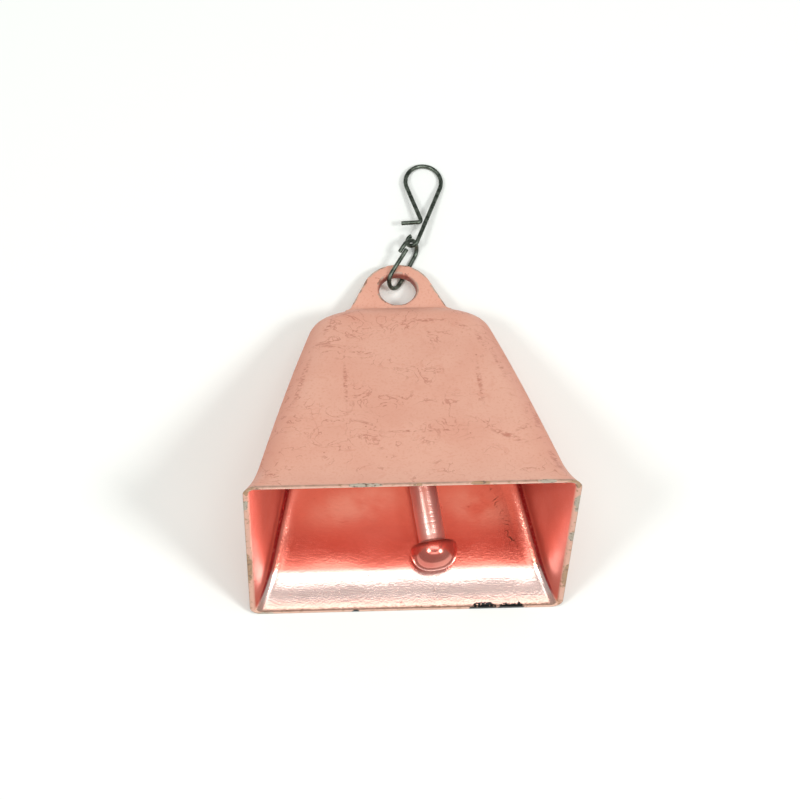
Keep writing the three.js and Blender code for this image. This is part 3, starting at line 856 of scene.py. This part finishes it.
def hanger_material():
    f, base = coat_finish("hanger_copper_coat")
    edge = f.mask("edge")
    flakes = f.noise(600, 5, 0.4)
    worn = f.ramp(f.math("MULTIPLY", edge, f.ramp(flakes, 0.32, 0.6)), 0.35, 0.6)
    metal = f.blend(f.ramp(f.noise(380, 3), 0.45, 0.6), BARE_STEEL, TARNISH)
    specks = f.ramp(f.noise(1500, 3), 0.68, 0.74)
    base = f.blend(f.math("MULTIPLY", specks, 0.6), base, SCUFF)
    # painted shade: the edges round the lug's hole deep red, over the wear
    hole_shade = f.near((0, LUG_HOLE_Y, 0), [HOLE_SHADE_REACH] * 3)
    hole_shade = f.math("MULTIPLY", edge, f.ramp(hole_shade, 0.3, 0.7))
    base = f.blend(f.math("MULTIPLY", worn, 0.7), base, metal)
    base = f.blend(hole_shade, base, HOLE_SHADE_RED)
    height = f.bump(f.noise(300, 3), 0.3, 0.0001)
    height = f.bump(f.noise(2600, 2), 0.3, 0.00003, height)
    f.set(Base_Color=base, Roughness=f.span(f.noise(200, 3), 0.42, 0.56), Metallic=0.12, Normal=height)
    f.set(Coat_Weight=0.05, Coat_Roughness=0.25)
    return f.material


def clapper_material():
    f = Finish("clapper_copper_coat")
    clouds = f.ramp(f.noise(160, 4), 0.35, 0.7)
    # painted highlight: the shank much paler pink than the head of the one-piece clapper
    base = f.blend(clouds, SHANK_HIGHLIGHT, SHANK_HIGHLIGHT_DEEP)
    base = f.blend(f.mask("head"), base, f.blend(clouds, HEAD_RED, HEAD_RED_DEEP))
    shank = f.math("SUBTRACT", 1.0, f.mask("head"))
    turned_marks = f.noise(1, 3, 0.2, f.stretched((120, 4200, 120)))
    height = f.bump(turned_marks, f.span(shank, 0.05, 1.0), 0.00006)
    height = f.bump(f.noise(900, 3), 0.15, 0.00004, height)
    rough = f.math("ADD", f.span(f.noise(300, 3), 0.15, 0.24), f.math("MULTIPLY", shank, 0.1))
    f.set(Base_Color=base, Roughness=rough, Metallic=0.8, Normal=height)
    f.set(Coat_Weight=0.5, Coat_Roughness=0.1)
    return f.material


def wire_material(name, light, dark, rough):
    f = Finish(name)
    along = f.node("ShaderNodeCombineXYZ", {"X": f.mask("run")}).outputs[0]
    bands = f.noise(700, 4, 0, along)
    base = f.blend(f.ramp(f.noise(900, 4), 0.4, 0.65), light, dark)
    base = f.blend(f.math("MULTIPLY", f.ramp(bands, 0.62, 0.72), 0.5), base, TARNISH)
    height = f.bump(f.noise(3200, 3), 0.25, 0.00002)
    uneven = f.span(f.noise(500, 3), rough - 0.07, rough + 0.1)
    f.set(Base_Color=base, Roughness=uneven, Metallic=0.85, Normal=height)
    return f.material


def floor_material():
    f = Finish("studio_floor")
    shade = f.blend(f.noise(3, 2), FLOOR_PALE, FLOOR_PALER)
    f.set(Base_Color=shade, Roughness=0.9)
    return f.material


# ---- assembly ----


def dress(piece, material, slot, *nodes):
    piece.data.materials.append(material)
    if nodes:
        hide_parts(*nodes)


spring_wire = wire_material("spring_wire", SPRING_STEEL, SPRING_STEEL_DARK, 0.34)
ring_wire = wire_material("ring_wire", RING_STEEL, RING_STEEL_DARK, 0.42)

shell = make_shell()
dress(shell, shell_material(), "shell", "bell_shell")
hanger = make_hanger()
dress(hanger, hanger_material(), "hanger", "hanger_plate")
clapper = make_clapper()
dress(clapper, clapper_material(), "clapper", "clapper")
ring = make_ring()
dress(ring, ring_wire, "ring_wire", "clapper_ring")
link = make_link()
dress(link, spring_wire, "wire", "link")
snap_bow, snap_strand, bend_start, bend_end = make_snap()
dress(snap_bow, spring_wire, "wire", "snap_hook")
dress(snap_strand, spring_wire, "wire", "snap_latch")

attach(shell, "bell")
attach(hanger, "bell")
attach(clapper, "clapper")
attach(ring, "clapper_ring")
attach(link, "link")
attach(snap_strand, "latch")
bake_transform(snap_bow)

# ---- floor, lights, camera ----

FLOOR_SIDE = 6.0
half_floor = FLOOR_SIDE / 2
corners = [Vector((x, y, cad_low.z - 0.00002)) for x, y in ((-1, -1), (1, -1), (1, 1), (-1, 1))]
floor = add_piece("floor", Matrix.Diagonal((half_floor, half_floor, 1, 1)), corners, [(0, 1, 2, 3)])
floor.data.materials.append(floor_material())


def add_light(name, azimuth, from_above, distance, width, depth, power):
    """A soft light aimed at the bell: azimuth turns it from the mouth's side to the right."""
    data = bpy.data.lights.new(name, "AREA")
    data.shape = "RECTANGLE"
    data.size, data.size_y = width, depth
    data.energy = power
    light = bpy.data.objects.new(name, data)
    turn = Matrix.Rotation(azimuth, 4, "Z") @ Matrix.Rotation(from_above, 4, "X")
    light.matrix_world = Matrix.Translation(turn @ Vector((0, 0, distance))) @ turn
    bpy.context.scene.collection.objects.link(light)


SMALL_BOX = {"distance": 0.75, "width": 0.13, "depth": 0.13}
add_light("softbox_left", radians(-67.5), radians(29), power=1.2, **SMALL_BOX)
add_light("softbox_right", radians(65), radians(32), power=1.8, **SMALL_BOX)
add_light("softbox_above", 0, radians(-7), distance=0.8, width=0.6, depth=0.3, power=1.75)
add_light("softbox_front", 0, radians(24), distance=0.8, width=0.5, depth=0.12, power=0.45)

ROOM_LIGHT = 0.325
world = bpy.data.worlds.new("studio")
world.use_nodes = True
world.node_tree.nodes["Background"].inputs["Color"].default_value = (1, 1, 1, 1)
world.node_tree.nodes["Background"].inputs["Strength"].default_value = ROOM_LIGHT
bpy.context.scene.world = world
bpy.context.scene.view_settings.view_transform = "Standard"

camera_data = bpy.data.cameras.new("camera")
camera_data.lens = CAMERA_LENS
camera_data.clip_start, camera_data.clip_end = 0.01, 20
camera = bpy.data.objects.new("camera", camera_data)
turn = Matrix.Rotation(-CAMERA_AZIMUTH, 4, "Z") @ Matrix.Rotation(pi / 2 - CAMERA_ELEVATION, 4, "X")
turn = turn @ Matrix.Rotation(CAMERA_ROLL, 4, "Z")
camera.matrix_world = Matrix.Translation(CAMERA_AIM + turn @ Vector((0, 0, CAMERA_DISTANCE))) @ turn
bpy.context.scene.collection.objects.link(camera)
bpy.context.scene.camera = camera
